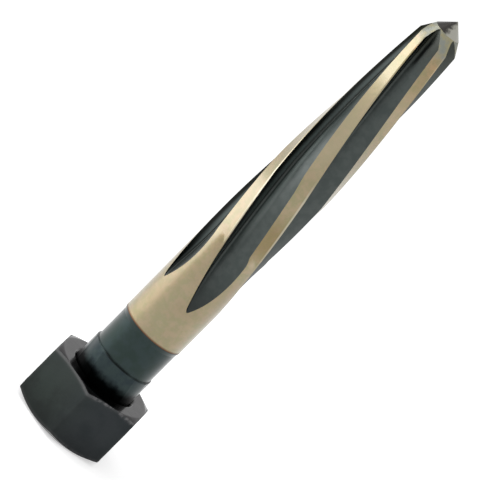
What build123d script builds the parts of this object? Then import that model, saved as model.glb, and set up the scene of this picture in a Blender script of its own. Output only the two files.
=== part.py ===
from build123d import *
from math import cos, degrees, radians, sqrt, tan
import os

# Car reamer standing on its drive nut. Millimetres, +Z from the nut's outer face to the point.
# Angles run counter-clockwise seen from the point, and -Y is the side that faces the viewer.

# Drive nut: a heavy hexagon nut, whose outer face is the datum z = 0
nut_across_flats = 31.4
nut_height = 19.05
nut_outer_face_dia = 28.6
nut_outer_chamfer_angle = 30.0
nut_inner_face_dia = 31.2
nut_inner_chamfer_angle = 20.0
nut_mouth_dia = 22.7
nut_mouth_angle = 45.0
nut_corner_angle = -90.0

# Shank that carries the nut, and the fit between them
shank_dia = 21.0
shank_fit_clearance = 0.04
shank_end_recess = 0.8
shank_end_chamfer = 1.0
shank_exposed_length = 8.8
shank_edge_chamfer = 0.35

# Female centre in the hidden end of the shank
centre_pilot_dia = 3.2
centre_pilot_depth = 7.0
centre_cone_dia = 7.5
centre_cone_angle = 60.0

# Neck between shank and body, and the chamfer that leads up to the body
neck_dia = 20.0
neck_length = 11.0
body_chamfer_length = 1.2

# Body: its parallel part, the taper and the pointed end
body_dia = 20.64
body_parallel_length = 61.8
taper_length = 56.9
taper_end_dia = 13.64
bevel_angle = 31.0
point_base_dia = 8.3
point_angle = 90.0

# Flutes: left-hand spiral around a core, radial cutting face and convex back
flute_count = 5
flute_lead = 335.0
flute_start_from_body = 13.8
flute_edge_angle = -117.0
flute_edge_from_body = 48.15
flute_back_angle = 78.0
flute_back_radius = 19.0
flute_root_fillet = 0.7
core_dia = 13.0
core_parallel_length = 67.5
core_end_dia = 8.1

# Grinding wheel that leaves each flute's pointed run-out, and the slant at which it draws out
wheel_radius = 68.0
wheel_lift_angle = 22.0

# The one flute that is ground less deep than the others, counted from the first edge
shallow_flute = 4
shallow_flute_trim = 0.65

# Relief ground on each land behind a narrow round margin
margin_width = 0.4
relief_angle = 16.0
relief_start_from_body = 35.8
relief_ramp_angle = 14.0

# How far the cuts reach past what they cut, and how profiles are spaced along the body
cut_overrun = 1.0
outer_reach = 5.0
back_sweep = 34.0
relief_reach = 4.6
relief_run_in = 1.2
station_pitch = 4.0
end_overrun = 12.0

# Heights worked out from the sizes above
neck_height = nut_height + shank_exposed_length
body_height = neck_height + neck_length
taper_height = body_height + body_parallel_length
bevel_height = taper_height + taper_length
bevel_length = (taper_end_dia - point_base_dia) / 2 / tan(radians(bevel_angle))
point_height = bevel_height + bevel_length
point_length = point_base_dia / 2 / tan(radians(point_angle / 2))
tip_height = point_height + point_length
flute_start_height = body_height + flute_start_from_body
relief_start_height = body_height + relief_start_from_body
flute_edge_height = body_height + flute_edge_from_body


def revolved(points):
    """A turned form from its half outline, given as (radius, height) points about Z."""
    outline = Polyline([(radius, 0, height) for radius, height in points], close=True)
    return revolve(make_face(outline), Axis.Z)


def drive_nut():
    """Hexagon with a chamfer at both ends, bored for the shank, its inner mouth countersunk."""
    hexagon = RegularPolygon(nut_across_flats / 2, 6, major_radius=False, rotation=nut_corner_angle)
    nut = extrude(hexagon, nut_height)
    outer_face_radius = nut_outer_face_dia / 2
    inner_face_radius = nut_inner_face_dia / 2
    past_corners = nut_across_flats
    outer_drop = (past_corners - outer_face_radius) * tan(radians(nut_outer_chamfer_angle))
    inner_drop = (past_corners - inner_face_radius) * tan(radians(nut_inner_chamfer_angle))
    chamfers = revolved([
        (0, 0),
        (outer_face_radius, 0),
        (past_corners, outer_drop),
        (past_corners, nut_height - inner_drop),
        (inner_face_radius, nut_height),
        (0, nut_height),
    ])
    bore_radius = (shank_dia + shank_fit_clearance) / 2
    mouth_radius = nut_mouth_dia / 2
    mouth_depth = (mouth_radius - bore_radius) / tan(radians(nut_mouth_angle))
    bore = revolved([
        (0, -cut_overrun),
        (bore_radius, -cut_overrun),
        (bore_radius, nut_height - mouth_depth),
        (mouth_radius, nut_height),
        (mouth_radius, nut_height + cut_overrun),
        (0, nut_height + cut_overrun),
    ])
    return (nut & chamfers) - bore


def turned_blank():
    """Shank, neck, body and point as they leave the lathe, with the female centre drilled."""
    shank_radius = shank_dia / 2
    neck_radius = neck_dia / 2
    body_radius = body_dia / 2
    blank = revolved([
        (0, shank_end_recess),
        (shank_radius - shank_end_chamfer, shank_end_recess),
        (shank_radius, shank_end_recess + shank_end_chamfer),
        (shank_radius, neck_height - shank_edge_chamfer),
        (shank_radius - shank_edge_chamfer, neck_height),
        (neck_radius, neck_height),
        (neck_radius, body_height),
        (body_radius, body_height + body_chamfer_length),
        (body_radius, taper_height),
        (taper_end_dia / 2, bevel_height),
        (point_base_dia / 2, point_height),
        (0, tip_height),
    ])
    return blank - female_centre()


def female_centre():
    """Pilot hole with the cone that a lathe centre runs in."""
    cone_radius = centre_cone_dia / 2
    pilot_radius = centre_pilot_dia / 2
    cone_depth = (cone_radius - pilot_radius) / tan(radians(centre_cone_angle / 2))
    return revolved([
        (0, 0),
        (cone_radius, 0),
        (cone_radius, shank_end_recess),
        (pilot_radius, shank_end_recess + cone_depth),
        (pilot_radius, shank_end_recess + centre_pilot_depth),
        (0, shank_end_recess + centre_pilot_depth),
    ])


def edge_radius(height):
    """Radius of the cutting edges: parallel, then falling in a straight line to the point."""
    slope = (body_dia - taper_end_dia) / 2 / taper_length
    return body_dia / 2 - slope * max(0.0, height - taper_height)


def edge_angle(height):
    """Angle of the first cutting edge, which turns clockwise on its way to the point."""
    return flute_edge_angle - 360.0 * (height - flute_edge_height) / flute_lead


def core_radius(height):
    """Radius of the core that the flutes leave: parallel, then falling to the point's base."""
    taper_start = body_height + core_parallel_length
    slope = (core_dia - core_end_dia) / 2 / (point_height - taper_start)
    return core_dia / 2 - slope * max(0.0, height - taper_start)


def wheel_lift(height):
    """How far the wheel's round rim has left the flute's full depth at this height."""
    along = core_dia / 2 * cos(radians(wheel_lift_angle))
    drawn_out = sqrt(along ** 2 + (body_dia / 2) ** 2 - (core_dia / 2) ** 2) - along
    run_out_length = sqrt(wheel_radius ** 2 - (wheel_radius - drawn_out) ** 2)
    behind = max(0.0, flute_start_height + run_out_length - height)
    return wheel_radius - sqrt(wheel_radius ** 2 - behind ** 2)


def flute_profile(height, trim):
    """Section of a flute: cutting face along X, filleted root, convex back, closed outside."""
    outer = edge_radius(height) + outer_reach
    root = Vector(core_radius(height), 0)
    back = JernArc(root, Vector(1, 0).rotate(Axis.Z, flute_back_angle), flute_back_radius, back_sweep)
    closing = Polyline(back @ 1, (outer, (back @ 1).Y), (outer, 0), root)
    sharp = make_face([back, closing])
    corner = sharp.vertices().sort_by_distance(root)[0]
    lift = Vector(wheel_lift(height) + trim, 0).rotate(Axis.Z, wheel_lift_angle)
    return Pos(lift) * fillet(corner, flute_root_fillet)


def relief_profile(height):
    """Section of one relief cut: a flat that falls away behind the margin, closed outside."""
    radius = edge_radius(height)
    margin_angle = degrees(margin_width / radius)
    margin = Vector(radius, 0).rotate(Axis.Z, -margin_angle)
    rise = Vector(0, 1).rotate(Axis.Z, -margin_angle - relief_angle)
    lead_in = margin + rise * relief_run_in
    heel = margin - rise * relief_reach
    outer = radius + outer_reach
    return make_face(Polyline(lead_in, heel, (outer, heel.Y), (outer, lead_in.Y), close=True))


def twisted_cut(profile, start_height):
    """A solid through one profile, set at even heights and turned with the cutting edge."""
    low = start_height - end_overrun
    span = tip_height + end_overrun - low
    count = round(span / station_pitch)
    heights = [low + span * i / count for i in range(count + 1)]
    return loft([Pos(0, 0, height) * Rot(0, 0, edge_angle(height)) * profile(height) for height in heights])


def relief_run_out():
    """Where the relief wheel reaches: a cone that sinks from the body's surface to its axis."""
    radius = body_dia / 2
    steepness = tan(radians(relief_ramp_angle))
    outer = radius + outer_reach + relief_reach
    top = tip_height + end_overrun + cut_overrun
    return revolved([
        (0, relief_start_height + radius / steepness),
        (outer, relief_start_height - (outer - radius) / steepness),
        (outer, top),
        (0, top),
    ])


def flute(trim=0.0):
    """One flute's cut, which stops short of the full depth by the trim."""
    return twisted_cut(lambda height: flute_profile(height, trim), flute_start_height)


def at_flute(index, cut):
    """The cut turned from the first flute to the one with this index."""
    return Rot(0, 0, 360.0 * index / flute_count) * cut


def reamer():
    """Blank with its flutes ground out and its lands relieved."""
    full = flute()
    shallow = flute(shallow_flute_trim)
    relief = twisted_cut(relief_profile, relief_start_height) & relief_run_out()
    flutes = [at_flute(i, shallow if i == shallow_flute else full) for i in range(flute_count)]
    reliefs = [at_flute(i, relief) for i in range(flute_count)]
    return turned_blank() - flutes - reliefs


os.makedirs("parts", exist_ok=True)
for name, solid in (("reamer", reamer()), ("drive_nut", drive_nut())):
    solid.label = name
    export_step(solid, f"parts/{name}.step")
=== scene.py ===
from math import atan2, cos, pi, radians, sin, sqrt, tan

import bmesh
import bpy
import numpy as np
from mathutils import Matrix, Vector


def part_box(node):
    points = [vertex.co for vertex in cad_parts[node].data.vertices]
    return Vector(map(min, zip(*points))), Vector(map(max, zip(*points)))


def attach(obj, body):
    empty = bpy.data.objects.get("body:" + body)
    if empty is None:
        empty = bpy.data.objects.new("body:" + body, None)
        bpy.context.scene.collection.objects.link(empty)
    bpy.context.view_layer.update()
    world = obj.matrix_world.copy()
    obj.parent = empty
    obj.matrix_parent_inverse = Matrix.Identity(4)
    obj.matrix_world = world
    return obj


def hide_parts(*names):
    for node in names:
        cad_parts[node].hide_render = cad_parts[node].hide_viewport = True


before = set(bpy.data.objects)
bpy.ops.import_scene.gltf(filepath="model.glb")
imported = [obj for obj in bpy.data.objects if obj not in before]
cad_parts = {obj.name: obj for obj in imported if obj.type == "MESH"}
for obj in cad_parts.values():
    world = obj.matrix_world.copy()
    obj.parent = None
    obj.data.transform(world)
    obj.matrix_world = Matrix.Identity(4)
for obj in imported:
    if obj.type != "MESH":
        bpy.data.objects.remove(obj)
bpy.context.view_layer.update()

# The reamer is one bar of tool steel, in millimetres here: shank, neck, body and point are turned,
# five left-hand flutes are ground into the body, and the whole bar is blackened. The body and its
# lands are then ground to size, which leaves them bronze-gold between the black flutes.
MM = 0.001
reamer_low, reamer_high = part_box("reamer")
shank_end = reamer_low.z / MM
tip_height = reamer_high.z / MM

shank_radius = 10.5
shank_end_chamfer = 1.0
shank_top = 27.85
shank_edge_chamfer = 0.35
centre_pilot_radius = 1.6
centre_pilot_depth = 7.0
centre_cone_radius = 3.75
centre_cone_half_angle = radians(30.0)
neck_radius = 10.0
body_base = 38.85
body_chamfer_length = 1.2
gold_start = 40.25
brown_line_width = 0.8
body_radius = 10.32
taper_start = 100.65
taper_end = 157.55
taper_end_radius = 6.82
bevel_angle = radians(31.0)
point_base_radius = 4.15

flute_count = 5
flute_pitch = 2 * pi / flute_count
flute_lead = 335.0
flute_start = 52.65
flute_edge_angle = radians(-117.0)
flute_edge_height = 87.0
flute_back_angle = radians(78.0)
flute_back_radius = 19.0
flute_back_sweep = radians(34.0)
flute_root_fillet = 0.7
flute_face_reach = 9.0
core_base_radius = 6.5
core_taper_start = body_base + 67.5
core_end_radius = 4.05
wheel_radius = 68.0
wheel_lift_angle = radians(22.0)
shallow_flute = 4
shallow_flute_trim = 0.65

margin_width = 0.4
relief_angle = radians(16.0)
relief_start = body_base + 35.8
relief_wheel_radius = 12.0

point_base = taper_end + (taper_end_radius - point_base_radius) / tan(bevel_angle)
taper_slope = (body_radius - taper_end_radius) / (taper_end - taper_start)
core_slope = (core_base_radius - core_end_radius) / (point_base - core_taper_start)
back_centre_x = -flute_back_radius * sin(flute_back_angle)
back_centre_y = flute_back_radius * cos(flute_back_angle)
fillet_reach = flute_back_radius + flute_root_fillet
fillet_span = sqrt(fillet_reach ** 2 - (back_centre_y - flute_root_fillet) ** 2)
back_start_angle = atan2(flute_root_fillet - back_centre_y, fillet_span)
fillet_length = flute_root_fillet * (pi / 2 - back_start_angle)

face_steps = 8
fillet_steps = 12
back_steps = 22
land_steps = 13
margin_steps = 4
trial_points = 900
flute_point_length = 3.6
relief_rim_length = 2.4
margin_fade = 8.0
least_cosine = 0.1
row_tolerance = 0.01
merge_distance = 2e-7
reamer_edge_angle = radians(12.0)


def turned_outline():
    """Heights and radii of the bar before fluting, from the axis inside the hidden centre hole, out
    over the shank's end and up to the point. Each stretch is a straight line with its own steps."""
    cone_top = shank_end + (centre_cone_radius - centre_pilot_radius) / tan(centre_cone_half_angle)
    stretches = [
        (shank_end + centre_pilot_depth, 0.0, 1),
        (shank_end + centre_pilot_depth, centre_pilot_radius, 3),
        (cone_top, centre_pilot_radius, 2),
        (shank_end, centre_cone_radius, 2),
        (shank_end, shank_radius - shank_end_chamfer, 3),
        (shank_end + shank_end_chamfer, shank_radius, 12),
        (shank_top - shank_edge_chamfer, shank_radius, 2),
        (shank_top, shank_radius - shank_edge_chamfer, 1),
        (shank_top, neck_radius, 8),
        (body_base, neck_radius, 4),
        (body_base + body_chamfer_length, body_radius, 1),
        (gold_start, body_radius, 9),
        (flute_start, body_radius, 30),
        (flute_start + flute_point_length, body_radius, 60),
        (relief_start + relief_rim_length, body_radius, 36),
        (taper_start, body_radius, 88),
        (taper_end, taper_end_radius, 20),
        (point_base, point_base_radius, 14),
        (tip_height, 0.0, 0),
    ]
    heights, radii = [], []
    for (z, r, steps), (next_z, next_r, _) in zip(stretches, stretches[1:]):
        share = np.arange(steps) / steps
        heights.append(z + (next_z - z) * share)
        radii.append(r + (next_r - r) * share)
    return np.concatenate([*heights, [tip_height]]), np.concatenate([*radii, [0.0]])


def flute_section(travel, core, lift):
    """Section of a flute in axes that turn with its cutting edge. Travel is the length along it:
    below 0 straight out along the cutting face, from 0 round the root's fillet circle, and past
    that over the circle of the convex back. Core is where the back starts and lift draws it out."""
    turn = -pi / 2 - np.clip(travel, 0, fillet_length) / flute_root_fillet
    sweep = back_start_angle + (travel - fillet_length) / flute_back_radius
    fillet_x = core + back_centre_x + fillet_span
    root_x = fillet_x + flute_root_fillet * np.cos(turn) - np.minimum(travel, 0)
    root_y = flute_root_fillet * (1 + np.sin(turn))
    back_x = core + back_centre_x + flute_back_radius * np.cos(sweep)
    back_y = back_centre_y + flute_back_radius * np.sin(sweep)
    on_back = travel > fillet_length
    x = np.where(on_back, back_x, root_x) + lift * cos(wheel_lift_angle)
    y = np.where(on_back, back_y, root_y) + lift * sin(wheel_lift_angle)
    return x, y


def land_radius(angle, z, blank):
    """Radius of the land at an angle behind its cutting edge: the turned radius, or less where the
    relief flat cuts a chord below it, and no less than the wheel's round rim leaves at its start.
    The cosine that the flat is divided by is held above 0, far behind the margin."""
    edge = body_radius - taper_slope * np.maximum(0, z - taper_start)
    behind_margin = angle + margin_width / edge + relief_angle
    flat = edge * cos(relief_angle) / np.maximum(np.cos(behind_margin), least_cosine)
    ahead = np.clip(z - relief_start, 0, relief_wheel_radius)
    run_out = body_radius - relief_wheel_radius + np.sqrt(relief_wheel_radius ** 2 - ahead ** 2)
    return np.minimum(blank, np.maximum(flat, run_out))


def flute_grid(z, blank, trim):
    """Radius and angle of one flute's points at each height, from cutting edge to heel. Its section
    is cut off where it passes the land's radius, and where it never dips below it all the points
    close up into one."""
    core = core_base_radius - core_slope * np.maximum(0, z - core_taper_start)
    along = core_base_radius * cos(wheel_lift_angle)
    full_lift = sqrt(along ** 2 + body_radius ** 2 - core_base_radius ** 2) - along
    run_out = sqrt(wheel_radius ** 2 - (wheel_radius - full_lift) ** 2)
    behind = np.clip(flute_start + run_out - z, 0, run_out)
    lift = wheel_radius - np.sqrt(wheel_radius ** 2 - behind ** 2) + trim
    back_end = fillet_length + flute_back_radius * flute_back_sweep
    trial = np.linspace(-flute_face_reach, back_end, trial_points)
    x, y = flute_section(trial, core, lift)
    above = np.hypot(x, y) - land_radius(np.arctan2(y, x) - flute_pitch, z, blank)
    cut = above < 0
    rows = np.arange(len(z))
    first, last = cut.argmax(1), cut.shape[1] - 1 - cut[:, ::-1].argmax(1)
    opened = above[rows, first - 1] / (above[rows, first - 1] - above[rows, first])
    closed = above[rows, last] / (above[rows, last] - above[rows, (last + 1) % len(trial)])
    step = trial[1] - trial[0]
    lowest = trial[above.argmin(1)]
    none = ~cut.any(1)
    start = np.where(none, lowest, trial[first] - step * (1 - opened))[:, None]
    stop = np.where(none, lowest, trial[last] + step * closed)[:, None]
    root = np.clip(0.0, start, stop)
    back = np.clip(fillet_length, root, stop)
    travel = np.hstack([
        start + (root - start) * np.linspace(0, 1, face_steps + 1)[:-1],
        root + (back - root) * np.linspace(0, 1, fillet_steps + 1)[:-1],
        back + (stop - back) * np.linspace(0, 1, back_steps + 1),
    ])
    x, y = flute_section(travel, core, lift)
    angle = np.arctan2(y, x)
    return np.minimum(np.hypot(x, y), land_radius(angle - flute_pitch, z, blank)), angle


def reamer_grid():
    """Radius, angle and height of every point of the bar. Rows follow the turned outline. Columns go
    once round it: each land from the heel of the flute before it to its cutting edge, then that
    edge's flute. Those that crowd at the margins spread out evenly below the relief's start. The
    angles turn with the height by the lead."""
    z, blank = (values[:, None] for values in turned_outline())
    full = flute_grid(z, blank, 0.0)
    shallow = flute_grid(z, blank, shallow_flute_trim)
    flutes = [shallow if i == shallow_flute else full for i in range(flute_count)]
    edge = body_radius - taper_slope * np.maximum(0, z - taper_start)
    turned = flute_edge_angle - 2 * pi * (z - flute_edge_height) / flute_lead
    spread = np.clip((relief_start - z) / (relief_start - flute_start), 0, 1)
    even_share = land_steps / (land_steps + margin_steps)
    radii, angles = [], []
    for i, (flute_radius, flute_angle) in enumerate(flutes):
        heel = flutes[i - 1][1][:, -1:] - flute_pitch
        cutting_edge = flute_angle[:, :1]
        margin = np.clip(-margin_width / edge, heel, cutting_edge)
        margin += spread * (heel + even_share * (cutting_edge - heel) - margin)
        land = np.hstack([
            heel + (margin - heel) * np.linspace(0, 1, land_steps + 1)[1:],
            margin + (cutting_edge - margin) * np.linspace(0, 1, margin_steps + 1)[1:-1],
        ])
        radii += [land_radius(land, z, blank), flute_radius]
        angles += [turned + flute_pitch * i + land, turned + flute_pitch * i + flute_angle]
    return np.hstack(radii), np.hstack(angles), np.repeat(z, sum(a.shape[1] for a in angles), 1)


def closed_surface(name, x, y, z, across, up, slots, wraps_up=False):
    """A mesh through a grid of points in millimetres, whose columns close round the axis, and whose
    rows close too where wraps_up says so. The UV map holds across and up in millimetres, and slots
    the material of each face."""
    rows, columns = x.shape
    points = np.arange(rows * columns).reshape(rows, columns)
    low = points if wraps_up else points[:-1]
    high = np.roll(points, -1, 0) if wraps_up else points[1:]
    faces = np.stack([low, np.roll(low, -1, 1), np.roll(high, -1, 1), high], -1).reshape(-1, 4)
    mesh = bpy.data.meshes.new(name)
    mesh.from_pydata(np.stack([x, y, z], -1).reshape(-1, 3) * MM, [], faces)
    mesh.polygons.foreach_set("material_index", slots[:len(low)].reshape(-1).astype(np.int32))
    left, bottom = np.meshgrid(across[:-1], up[:len(low)])
    right, top = np.meshgrid(across[1:], np.append(up, 2 * up[-1] - up[-2])[1:len(low) + 1])
    corners = np.stack([left, bottom, right, bottom, right, top, left, top], -1)
    mesh.uv_layers.new(name="surface").data.foreach_set("uv", corners.reshape(-1).astype(np.float32))
    return mesh


def mark(mesh, name, values):
    """Stores a value at each point of the mesh, for its materials to read."""
    points = mesh.attributes.new(name, "FLOAT", "POINT").data
    points.foreach_set("value", values.reshape(-1).astype(np.float32))


def finished_piece(mesh, materials, edge_angle):
    """The object for a mesh, with its doubles merged, so that a row of one point is a pole, and
    shaded smooth apart from edges sharper than that angle."""
    for material in materials:
        mesh.materials.append(material)
    work = bmesh.new()
    work.from_mesh(mesh)
    bmesh.ops.remove_doubles(work, verts=work.verts, dist=merge_distance)
    bmesh.ops.dissolve_degenerate(work, dist=merge_distance, edges=work.edges)
    work.to_mesh(mesh)
    work.free()
    mesh.shade_smooth()
    mesh.set_sharp_from_angle(angle=edge_angle)
    piece = bpy.data.objects.new(mesh.name, mesh)
    bpy.context.scene.collection.objects.link(piece)
    return piece


def linear(red, green, blue):
    """A colour as it shows on a screen, from 0 to 255, worked out as the light that it reflects, by
    the standard curve of screens."""
    share = np.array([red, green, blue]) / 255
    return (*np.where(share > 0.04045, ((share + 0.055) / 1.055) ** 2.4, share / 12.92), 1.0)


class Socket:
    """A value on the surface. Arithmetic on it adds the Math node that works it out."""

    def __init__(self, nodes, socket):
        self.nodes = nodes
        self.socket = socket

    def maths(self, operation, *others):
        values = dict(enumerate([self, *others]))
        return self.nodes.add("ShaderNodeMath", {"operation": operation}, values)

    def __add__(self, other):
        return self.maths("ADD", other)

    def __mul__(self, other):
        return self.maths("MULTIPLY", other)

    def __rsub__(self, other):
        return self.maths("MULTIPLY_ADD", -1.0, other)

    __radd__ = __add__
    __rmul__ = __mul__


class Nodes:
    """A tree of shader nodes, each added by its type, its settings and the values of its sockets."""

    def __init__(self, tree):
        self.tree = tree

    def add(self, kind, settings, sockets, output=0):
        node = self.tree.nodes.new(kind)
        for name, value in settings.items():
            setattr(node, name, value)
        for key, value in sockets.items():
            self.feed(node.inputs[key], value)
        return Socket(self, node.outputs[output])

    def feed(self, target, value):
        if isinstance(value, Socket):
            self.tree.links.new(value.socket, target)
        else:
            target.default_value = value

    def coordinates(self, name="Object"):
        """The place on the object in metres, or on its UV map in millimetres."""
        return self.add("ShaderNodeTexCoord", {}, {}, name)

    def along(self, axis):
        """How far the place lies along that axis, in metres."""
        return self.add("ShaderNodeSeparateXYZ", {}, {0: self.coordinates()}, axis)

    def marked(self, name):
        """A value that the mesh stores at its points."""
        return self.add("ShaderNodeAttribute", {"attribute_name": name}, {}, "Fac")

    def stretched(self, place, scale):
        """The place with its axes scaled, which draws a pattern out along the least of them."""
        return self.add("ShaderNodeMapping", {}, {"Vector": place, "Scale": scale})

    def noise(self, place, scale, detail=2.0):
        """Smooth noise from 0 to 1."""
        return self.add("ShaderNodeTexNoise", {}, {"Vector": place, "Scale": scale, "Detail": detail})

    def between(self, value, low, high):
        """0 below low and 1 above high, with a smooth step between them."""
        sockets = {"Value": value, "From Min": low, "From Max": high}
        return self.add("ShaderNodeMapRange", {"interpolation_type": "SMOOTHSTEP"}, sockets)

    def band(self, value, rise, fall):
        """1 in a band of the value, which comes up over the span rise and goes down over fall."""
        return self.between(value, *rise) * (1.0 - self.between(value, *fall))

    def patches(self, place, scale, detail=3.0):
        """Noise drawn apart into 0 and 1, which leaves patches with soft rims."""
        return self.between(self.noise(place, scale, detail), 0.35, 0.65)

    def mixed(self, share, first, second):
        """The first colour where the share is 0 and the second where it is 1. The Mix node holds its
        factor in socket 0, its colours in 6 and 7, and their mixture in output 2."""
        return self.add("ShaderNodeMix", {"data_type": "RGBA"}, {0: share, 6: first, 7: second}, 2)

    def bump(self, height, distance):
        """The normal of a surface that rises by that height times the distance in metres."""
        return self.add("ShaderNodeBump", {}, {"Height": height, "Distance": distance})


class Finish(Nodes):
    """The nodes of a new material with one shader."""

    def __init__(self, name):
        self.material = bpy.data.materials.new(name)
        self.material.use_nodes = True
        super().__init__(self.material.node_tree)

    def shaded(self, **sockets):
        for name, value in sockets.items():
            self.feed(self.tree.nodes["Principled BSDF"].inputs[name.replace("_", " ")], value)
        return self.material


def shank_oxide():
    """Blue-green black oxide on turned steel: satin, with faint rings from the lathe and smudges. It
    is greener on the neck. Painted shade and dark reflection make it near black at the shank's foot,
    where the nut joins it, and a dark line of painted shade rings the step to the neck."""
    finish = Finish("black_oxide_shank")
    place = finish.coordinates()
    height = finish.along("Z")
    rings = finish.noise(finish.stretched(place, (60.0, 60.0, 2600.0)), 1.0)
    smudges = finish.patches(place, 330.0)
    on_neck = finish.between(height, 0.0275, 0.0280)
    oxide = finish.mixed(on_neck, linear(14, 32, 37), linear(19, 38, 34))
    smudged = finish.mixed(smudges, oxide, linear(27, 43, 43))
    # Painted shade: a dark line round the step from shank to neck, broken by noise and lifted on the
    # left side, where light falls on the step's chamfer.
    at_step = finish.band(height, (0.0274, 0.0277), (0.0279, 0.0287))
    breaks = finish.between(finish.noise(place, 260.0), 0.3, 0.55)
    step_lit_side = 1.0 - finish.between(finish.along("X"), -0.0075, -0.0035)
    line = at_step * breaks * (1.0 - 0.85 * step_lit_side)
    step_shaded = finish.mixed(0.8 * line, smudged, linear(6, 10, 10))
    # Painted shade and dark reflection: towards its foot by the nut the shank goes near black and
    # loses most of its coat.
    clear_of_foot_shade = finish.between(height + 0.0008 * smudges, 0.0212, 0.0248)
    return finish.shaded(
        Base_Color=finish.mixed(clear_of_foot_shade, linear(2, 3, 3), step_shaded),
        Metallic=1.0,
        Coat_Weight=0.5 * clear_of_foot_shade * (1.0 - 0.6 * line),
        Coat_Roughness=0.35,
        Roughness=0.3 + 0.12 * rings,
        Anisotropic=0.6,
        Anisotropic_Rotation=0.25,
        Normal=finish.bump(rings, 0.00001),
    )


def flute_oxide():
    """The same oxide in the flutes, with grinding lines along the spiral. The convex back is rougher
    and lighter than the cutting face, which is black at its edge and lighter by the root, a painted
    reflection. A painted highlight makes it paler still along the root on one side, halfway up.
    Painted shade makes it darkest at both ends: on the cutting face where the flutes of that side
    begin, and in a black streak along the root by the point."""
    finish = Finish("black_oxide_flutes")
    height = finish.along("Z")
    sideways = finish.along("X")
    across = finish.marked("across_flute")
    on_back = finish.between(across, 1.0, 2.1)
    started = finish.between(height, 0.0530, 0.0720)
    # Painted reflection: the cutting face turns lighter, and rougher, towards the root once the flute
    # has started.
    root_reflection_share = finish.band(across, (0.3, 0.9), (0.9, 1.2)) * started
    lines = finish.noise(finish.stretched(finish.coordinates("UV"), (9.0, 0.12, 1.0)), 1.0)
    smudges = finish.patches(finish.coordinates(), 420.0)
    face = finish.mixed(root_reflection_share, linear(38, 40, 38), linear(110, 119, 117))
    back = finish.mixed(smudges, linear(57, 64, 62), linear(65, 71, 69))
    # Painted highlight: a paler strip beside the root on the left side, halfway up.
    beside_root = finish.band(across, (2.0, 2.1), (2.2, 2.45))
    midway = finish.band(height, (0.0740, 0.0920), (0.1130, 0.1260))
    paler = beside_root * midway * (1.0 - finish.between(sideways, 0.0005, 0.0020))
    oxide = finish.mixed(on_back, face, finish.mixed(paler, back, linear(110, 118, 115)))
    darker = finish.mixed(0.7 * (1.0 - started), oxide, linear(22, 27, 26))
    # Painted shade: the cutting faces on the left side go near black where their flutes begin.
    left_side = 1.0 - finish.between(sideways, -0.0066, -0.0052)
    left_start = left_side * (1.0 - finish.between(height, 0.0640, 0.0800))
    blackest = left_start * (0.9 - 0.7 * finish.between(across, 0.6, 1.0))
    black = finish.mixed(blackest, darker, linear(6, 9, 8))
    # Painted shade: a black streak along the root of the flutes by the point, on all but the far left
    # side.
    along_root = finish.band(across, (2.0, 2.06), (2.2, 2.3))
    by_point = finish.band(height, (0.1480, 0.1515), (0.1570, 0.1590))
    streak = along_root * by_point * finish.between(sideways, -0.0035, -0.0025)
    streaked = finish.mixed(0.9 * streak, black, linear(4, 5, 5))
    at_end = finish.between(height + 0.004 * smudges, 0.1500, 0.1590)
    return finish.shaded(
        Base_Color=finish.mixed(0.6 * at_end * (1.0 - streak), streaked, linear(32, 33, 20)),
        Metallic=1.0,
        Coat_Weight=0.4 * on_back,
        Coat_Roughness=0.3,
        Roughness=0.2 + 0.24 * on_back + 0.3 * root_reflection_share + 0.08 * lines,
        Anisotropic=0.5,
        Normal=finish.bump(lines, 0.000006),
    )


def ground_bronze():
    """Bronze-gold temper colour on cylindrically ground steel, in small olive and pink patches. It
    starts at a matt brown line, is stained brown on one side by the relief's start and by the taper's
    end, and is paler on the other, a painted highlight. Its margins are lighter, partly polished and
    partly a painted edge highlight, and it turns orange and then worn grey at the bevel."""
    finish = Finish("ground_bronze_steel")
    place = finish.coordinates()
    height = finish.along("Z")
    rings = finish.noise(finish.stretched(place, (90.0, 90.0, 4200.0)), 1.0)
    patches = finish.patches(place, 430.0)
    clouds = finish.patches(place, 90.0, detail=2.0)
    bronze = finish.mixed(patches, linear(115, 106, 43), linear(133, 112, 64))
    right_side = finish.between(finish.along("X"), 0.0, 0.005)
    by_relief = finish.band(height, (0.0740, 0.0830), (0.0850, 0.0980))
    by_end = finish.between(height, 0.1280, 0.1400)
    stain = right_side * (by_relief + 0.6 * by_end)
    browner = finish.mixed(0.45 * clouds + 0.5 * stain, bronze, linear(112, 86, 12))
    # Painted highlight: the taper is paler on the left side.
    on_taper = finish.band(height, (0.1020, 0.1180), (0.1420, 0.1500))
    paler = finish.mixed(0.5 * on_taper * (1.0 - right_side), browner, linear(152, 138, 100))
    # Lighter along the margins: partly polished steel, partly a painted edge highlight.
    margin = finish.mixed(0.35 * finish.marked("margin"), paler, linear(200, 195, 178))
    brown_end = (gold_start + brown_line_width) * MM
    first_brown = 1.0 - finish.between(height, gold_start * MM, brown_end)
    edged = finish.mixed(first_brown, margin, linear(92, 60, 42))
    bevel_height = height + 0.005 * finish.noise(place, 600.0, 3.0)
    orange = finish.between(bevel_height, 0.1500, 0.1570)
    tempered = finish.mixed(0.4 * orange * patches, edged, linear(168, 125, 69))
    worn = finish.between(bevel_height, 0.1560, 0.1615)
    steel = finish.mixed(patches, linear(152, 145, 112), linear(134, 137, 128))
    return finish.shaded(
        Base_Color=finish.mixed(worn, tempered, steel),
        Metallic=1.0,
        Coat_Weight=(1.0 - 0.8 * worn) * (1.0 - first_brown) * (1.0 - 0.35 * stain),
        Coat_Roughness=0.24,
        Coat_IOR=2.1,
        Roughness=0.42 + 0.12 * rings + 0.2 * worn,
        Anisotropic=0.5,
        Anisotropic_Rotation=0.25,
        Normal=finish.bump(rings, 0.000004),
    )


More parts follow.
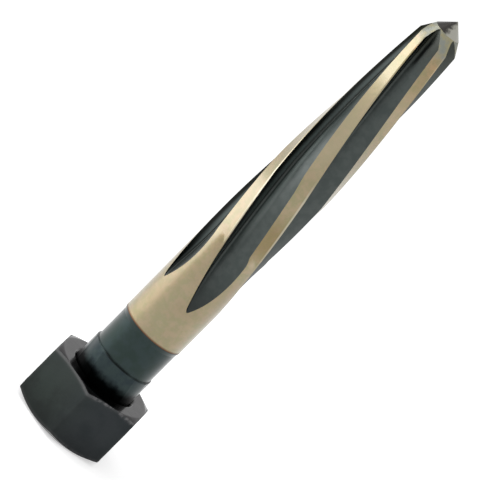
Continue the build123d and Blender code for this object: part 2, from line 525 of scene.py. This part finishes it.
def ground_point():
    """Steel of the point, light on one side and dark on the other."""
    finish = Finish("ground_point_steel")
    cloud = finish.noise(finish.coordinates(), 900.0, 3.0)
    # The point is light on the +X side and dark on the other.
    lighter_side = finish.between(finish.along("X") + 0.003 * cloud, 0.0008, 0.0022)
    return finish.shaded(
        Base_Color=finish.mixed(lighter_side, linear(62, 60, 58), linear(158, 157, 148)),
        Metallic=1.0,
        Roughness=0.26 + 0.1 * cloud,
    )


radius, angle, z = reamer_grid()
x, y = radius * np.cos(angle), radius * np.sin(angle)
land_columns = land_steps + margin_steps - 1
flute_columns = face_steps + fillet_steps + back_steps + 1
column = np.arange(land_columns + flute_columns)
flute_point = np.tile(column >= land_columns, flute_count)
in_flute = flute_point & np.roll(flute_point, -1)
across_flute = np.concatenate([
    np.zeros(land_columns),
    np.arange(face_steps) / face_steps,
    1 + np.arange(fillet_steps) / fillet_steps,
    2 + np.arange(back_steps + 1) / back_steps,
])
on_margin = (column >= land_steps - 1) & (column <= land_columns)

middle_row = np.abs(z[:, 0] - taper_start).argmin()
steps_round = np.hypot(*(np.roll(side[middle_row], -1) - side[middle_row] for side in (x, y)))
across = np.concatenate([[0.0], np.cumsum(steps_round)])
reamer_finishes = [shank_oxide(), ground_bronze(), flute_oxide(), ground_point()]
shank_slot, ground_slot, flute_slot, point_slot = range(len(reamer_finishes))
on_shank = z[:, :1] < gold_start
on_point = z[:, :1] >= point_base - row_tolerance
row_slot = np.select([on_shank, on_point], [shank_slot, point_slot], ground_slot)
slots = np.where(in_flute & (row_slot == ground_slot), flute_slot, row_slot)
reamer_mesh = closed_surface("reamer_steel", x, y, z, across, z[:, 0], slots)
mark(reamer_mesh, "across_flute", np.tile(across_flute, (len(z), flute_count)))
margin_share = np.clip(np.minimum(z - relief_start, taper_start - z + margin_fade) / margin_fade, 0, 1)
mark(reamer_mesh, "margin", np.tile(on_margin, (len(z), flute_count)) * margin_share)
reamer = finished_piece(reamer_mesh, reamer_finishes, reamer_edge_angle)
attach(reamer, "root")
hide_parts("reamer")

# The drive nut is a heavy hexagon nut of forged steel, chamfered at both ends and black all over. It
# is fixed on the shank, and its edges are a little uneven and rubbed grey from sockets.
nut_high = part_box("drive_nut")[1]
nut_height = nut_high.z / MM
nut_apothem = nut_high.x / MM
nut_outer_face_radius = 14.3
nut_outer_slope = tan(radians(30.0))
nut_inner_face_radius = 15.6
nut_inner_slope = tan(radians(20.0))
nut_bore_gap = 0.02
nut_bore_radius = shank_radius + nut_bore_gap
nut_mouth_radius = 11.35
nut_mouth_bottom = nut_height - nut_mouth_radius + nut_bore_radius
nut_corner_sharpness = 90.0

nut_columns_per_side = 44
nut_column_crowding = 0.85
nut_row_spacing = 0.5
rounding_points = 5
rounding_limit = 0.4
nut_edge_angle = radians(40.0)

rub_reach = 0.6
corner_rub = 0.08
corner_rub_reach = 0.5
dent_depth = 0.018
dent_width = 5.0
scale_depth = 0.008
scale_width = 1.4
rub_depth = 0.03
chip_depth = 0.05
chip_width = 1.6
turned_calm = 0.7
face_calm_height = 0.3
bore_calm_width = 0.5


def waves(x, y, z, wavelength, seed, count=30):
    """Smooth uneven field of about unit size: that many plane waves in random directions, each 0.7
    to 1.5 times the wavelength long, added up."""
    draw = np.random.default_rng(seed)
    directions = draw.normal(size=(count, 3))
    directions /= np.linalg.norm(directions, axis=1)[:, None]
    pace = 2 * pi / (wavelength * draw.uniform(0.7, 1.5, count))
    phases = draw.uniform(0, 2 * pi, count)
    total = sum(
        np.sin(k * (x * d[0] + y * d[1] + z * d[2]) + p)
        for d, k, p in zip(directions, pace, phases))
    return total * sqrt(2 / count)


def nut_outline(side_radius):
    """Corners of the nut's half section at each angle, round from the bore's lower edge. Each is its
    radius, height, how far it is rounded, how much it is rubbed and how many steps lead on from it.
    Counted from 0, corners 2 and 3 are the two ends of the forged flat."""
    inner_drop = (side_radius - nut_inner_face_radius) * nut_inner_slope
    outer_drop = (side_radius - nut_outer_face_radius) * nut_outer_slope
    even = np.ones_like(side_radius)
    return [
        (nut_bore_radius * even, 0 * even, 0.15, 0.0, 6),
        (nut_outer_face_radius * even, 0 * even, 0.4, 0.2, 5),
        (side_radius, outer_drop, 0.35, 0.3, 36),
        (side_radius, nut_height - inner_drop, 0.35, 1.0, 5),
        (nut_inner_face_radius * even, nut_height * even, 0.3, 0.2, 8),
        (nut_mouth_radius * even, nut_height * even, 0.15, 0.0, 3),
        (nut_bore_radius * even, nut_mouth_bottom * even, 0.15, 0.0, 6),
    ]


def rounded(start, corner, stop):
    """Points round a corner on a quadratic curve: (1 - t)^2 of its start, 2 t (1 - t) of the corner
    and t^2 of its stop, with t from 0 to 1."""
    t = np.linspace(0, 1, rounding_points)[:, None]
    return (1 - t) ** 2 * start + 2 * t * (1 - t) * corner + t ** 2 * stop


def nut_grid():
    """Radius and height of the nut's points, the angles of its columns, and how rubbed and how
    smoothly turned each point is. Its columns crowd towards the hexagon's corners, where the radius
    is the apothem over a high-power mean of the six sides' cosines. Its rows run straight from
    corner to corner of the outline, and round each on a quadratic curve."""
    share = np.arange(nut_columns_per_side) / nut_columns_per_side
    crowded = share - nut_column_crowding * np.sin(2 * pi * share) / (2 * pi)
    on_side = np.arctan(tan(pi / 6) * (2 * crowded - 1))
    angle = (np.arange(6)[:, None] * pi / 3 + on_side).reshape(-1)
    cosines = np.maximum(np.cos(angle[:, None] - np.arange(6) * pi / 3), 0)
    side_radius = nut_apothem / (cosines ** nut_corner_sharpness).sum(1) ** (1 / nut_corner_sharpness)
    outline = nut_outline(side_radius)
    flat_low, flat_high = 2, 3
    corner_gap = nut_apothem * (tan(pi / 6) - np.abs(np.tan(np.tile(on_side, 6))))
    at_corner = corner_rub * np.exp(-(corner_gap / corner_rub_reach) ** 2)
    radii, heights, rubbed, turned = [], [], [], []
    for k, (r, h, rounding, rub, steps) in enumerate(outline):
        before_r, before_h = outline[k - 1][:2]
        after_r, after_h, after_rounding, after_rub = outline[(k + 1) % len(outline)][:4]
        back = np.hypot(before_r - r, before_h - h)
        ahead = np.hypot(after_r - r, after_h - h)
        near = np.minimum(rounding, rounding_limit * back) / back
        far = np.minimum(rounding, rounding_limit * ahead) / ahead
        last = 1 - np.minimum(after_rounding, rounding_limit * ahead) / ahead
        s = far + (last - far) * (np.arange(1, steps) / steps)[:, None]
        radii += [rounded(r + (before_r - r) * near, r, r + (after_r - r) * far)]
        radii += [r + (after_r - r) * s]
        heights += [rounded(h + (before_h - h) * near, h, h + (after_h - h) * far)]
        heights += [h + (after_h - h) * s]
        fading = rub * np.exp(-(s * ahead / rub_reach) ** 2)
        growing = after_rub * np.exp(-((1 - s) * ahead / rub_reach) ** 2)
        rubbed += [np.full((rounding_points, len(angle)), rub)]
        rubbed += [np.maximum(fading + growing, at_corner if k == flat_low else 0)]
        turned += [np.full((rounding_points, len(angle)), float(k not in (flat_low, flat_high)))]
        turned += [np.full((steps - 1, len(angle)), float(k != flat_low))]
    return np.vstack(radii), np.vstack(heights), angle, np.vstack(rubbed), np.vstack(turned)


def outward(x, y, z):
    """Unit normals of a grid that closes both ways, from the cross product of its two slopes."""
    points = np.stack([x, y, z], -1)
    round_it, up_it = (np.roll(points, -1, side) - np.roll(points, 1, side) for side in (1, 0))
    normals = np.cross(round_it, up_it)
    return np.moveaxis(normals / np.linalg.norm(normals, axis=-1, keepdims=True), -1, 0)


def nut_oxide():
    """Matt black oxide on forged flats, darkest by the outer face, and on turned ends that are smooth
    enough to mirror what is beside them. Its edges are rubbed grey, in a thin line that is partly a
    painted edge highlight on one side, and in patches on the other."""
    finish = Finish("black_oxide_nut")
    place = finish.coordinates()
    grain = finish.noise(place, 2600.0, 4.0)
    clouds = finish.patches(place, 150.0)
    # Rubbed grey edges: on the left side an unbroken line, partly a painted edge highlight; on the
    # right, broken patches of wear.
    breaks = finish.between(finish.noise(place, 800.0, 3.0), 0.4, 0.62)
    right_side = finish.between(finish.along("X"), -0.001, 0.004)
    rubbed = finish.marked("rubbed") * (0.5 - 0.3 * right_side + 0.7 * breaks * right_side)
    turned = finish.marked("turned")
    height = finish.along("Z")
    green = finish.mixed(clouds, linear(38, 43, 41), linear(46, 53, 50))
    greyer = finish.mixed(0.8 * finish.between(height, 0.0070, 0.0180), green, linear(52, 58, 56))
    blue = finish.mixed(clouds, linear(41, 46, 48), linear(48, 52, 54))
    sides = finish.mixed(finish.between(finish.along("X"), -0.008, 0.008), greyer, blue)
    oxide = finish.mixed(0.5 - 0.5 * finish.between(height, 0.0, 0.0110), sides, linear(20, 22, 22))
    smooth = finish.mixed(turned, oxide, linear(46, 45, 46))
    return finish.shaded(
        Base_Color=finish.mixed(rubbed, smooth, linear(108, 107, 108)),
        Metallic=turned,
        Specular_IOR_Level=0.1,
        Roughness=0.16 + (0.38 + 0.12 * grain) * (1.0 - turned),
        Normal=finish.bump(grain * (1.0 - 0.85 * turned), 0.00003),
    )


radius, z, angle, rubbed, turned = nut_grid()
x, y = radius * np.cos(angle), radius * np.sin(angle)
normal_x, normal_y, normal_z = outward(x, y, z)
off_outer_face = np.clip(z / face_calm_height, 0, 1)
off_bore = np.clip((radius - nut_bore_radius) / bore_calm_width, 0, 1)
rise = dent_depth * waves(x, y, z, dent_width, seed=3)
rise += scale_depth * waves(x, y, z, scale_width, seed=4)
rise -= rubbed * (rub_depth + chip_depth * np.maximum(waves(x, y, z, chip_width, seed=5), 0))
rise *= off_outer_face * off_bore * (1 - turned_calm * turned)
x, y, z = x + normal_x * rise, y + normal_y * rise, z + normal_z * rise
across = np.linspace(0, 2 * pi * nut_apothem, len(angle) + 1)
up = np.arange(len(z)) * nut_row_spacing
nut_mesh = closed_surface("drive_nut_steel", x, y, z, across, up, np.zeros(x.shape), wraps_up=True)
mark(nut_mesh, "rubbed", rubbed)
mark(nut_mesh, "turned", turned)
nut = finished_piece(nut_mesh, [nut_oxide()], nut_edge_angle)
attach(nut, "root")
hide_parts("drive_nut")

# The tool stands on a wide white floor under a white sky. Both show white to the camera and in the
# steel, and the floor still takes the tool's soft shadow.
floor_size = 16.0
floor_white = 0.8
floor_glow = 0.48
sky_light = 0.75


def seen(nodes):
    """1 for what the camera, a reflection or clear glass sees, and 0 for what lights the tool."""
    camera, glossy, clear = (
        nodes.add("ShaderNodeLightPath", {}, {}, ray)
        for ray in ("Is Camera Ray", "Is Glossy Ray", "Is Transmission Ray"))
    return camera.maths("MAXIMUM", glossy).maths("MAXIMUM", clear)


def white_board():
    """White board: plain diffuse, with a glow that only the camera and reflections see."""
    finish = Finish("white_board")
    return finish.shaded(
        Base_Color=(floor_white, floor_white, floor_white, 1.0),
        Roughness=1.0,
        Specular_IOR_Level=0.0,
        Emission_Color=finish.mixed(seen(finish), (0.0, 0.0, 0.0, 1.0), (1.0, 1.0, 1.0, 1.0)),
        Emission_Strength=floor_glow,
    )


floor_mesh = bpy.data.meshes.new("floor")
reach = floor_size / 2
floor_corners = [(-reach, -reach, 0), (reach, -reach, 0), (reach, reach, 0), (-reach, reach, 0)]
floor_mesh.from_pydata(floor_corners, [], [(0, 1, 2, 3)])
floor_mesh.materials.append(white_board())
floor = bpy.data.objects.new("floor", floor_mesh)
bpy.context.scene.collection.objects.link(floor)

world = bpy.data.worlds.new("white_sky")
bpy.context.scene.world = world
world.use_nodes = True
sky = Nodes(world.node_tree)
background = world.node_tree.nodes["Background"].inputs
sky.feed(background["Color"], (1.0, 1.0, 1.0, 1.0))
sky.feed(background["Strength"], sky_light + (1.0 - sky_light) * seen(sky))

# An upright soft box stands on the floor at the tool's left and shows in the steel as a pale band. A
# weaker one stands at its right, and a third, high at the front, opens the shadows.


def soft_box(name, place, aim, width, height, radiance):
    """A rectangular lamp of that even radiance, which faces from its place towards its aim."""
    lamp = bpy.data.lights.new(name, "AREA")
    lamp.shape = "RECTANGLE"
    lamp.size, lamp.size_y = width, height
    lamp.energy = radiance * pi * width * height
    holder = bpy.data.objects.new(name, lamp)
    holder.location = place
    holder.rotation_euler = (Vector(aim) - Vector(place)).to_track_quat("-Z", "Y").to_euler()
    bpy.context.scene.collection.objects.link(holder)


lamp_level = (0.0, 0.0, 0.21)
tool_middle = (0.0, 0.0, 0.083)
soft_box("left_soft_box", (-0.22, -0.018, 0.21), lamp_level, width=0.19, height=0.42, radiance=2.65)
soft_box("right_soft_box", (0.4, -0.03, 0.21), lamp_level, width=0.16, height=0.42, radiance=0.7)
soft_box("front_soft_box", (0.5, -1.0, 0.9), tool_middle, width=0.8, height=0.8, radiance=0.5)

# The camera looks down at the tool from far off through a long lens, and is rolled so that the tool
# lies across the picture with its point at the upper right.
camera_elevation = radians(16.5)
camera_roll = radians(44.8)
camera_distance = 1.134
camera_aim = Vector((-0.00028, 0.0, 0.0769))
right = Vector((1.0, 0.0, 0.0))
back = Vector((0.0, -cos(camera_elevation), sin(camera_elevation)))
up = back.cross(right)
rolled_right = cos(camera_roll) * right + sin(camera_roll) * up
rolled_up = cos(camera_roll) * up - sin(camera_roll) * right
turning = Matrix((rolled_right, rolled_up, back)).transposed().to_4x4()
camera_data = bpy.data.cameras.new("camera")
camera_data.sensor_width = 36.0
camera_data.lens = 300.0
camera = bpy.data.objects.new("camera", camera_data)
camera.matrix_world = Matrix.Translation(camera_aim + back * camera_distance) @ turning
bpy.context.scene.collection.objects.link(camera)
bpy.context.scene.camera = camera
bpy.context.scene.view_settings.view_transform = "Standard"
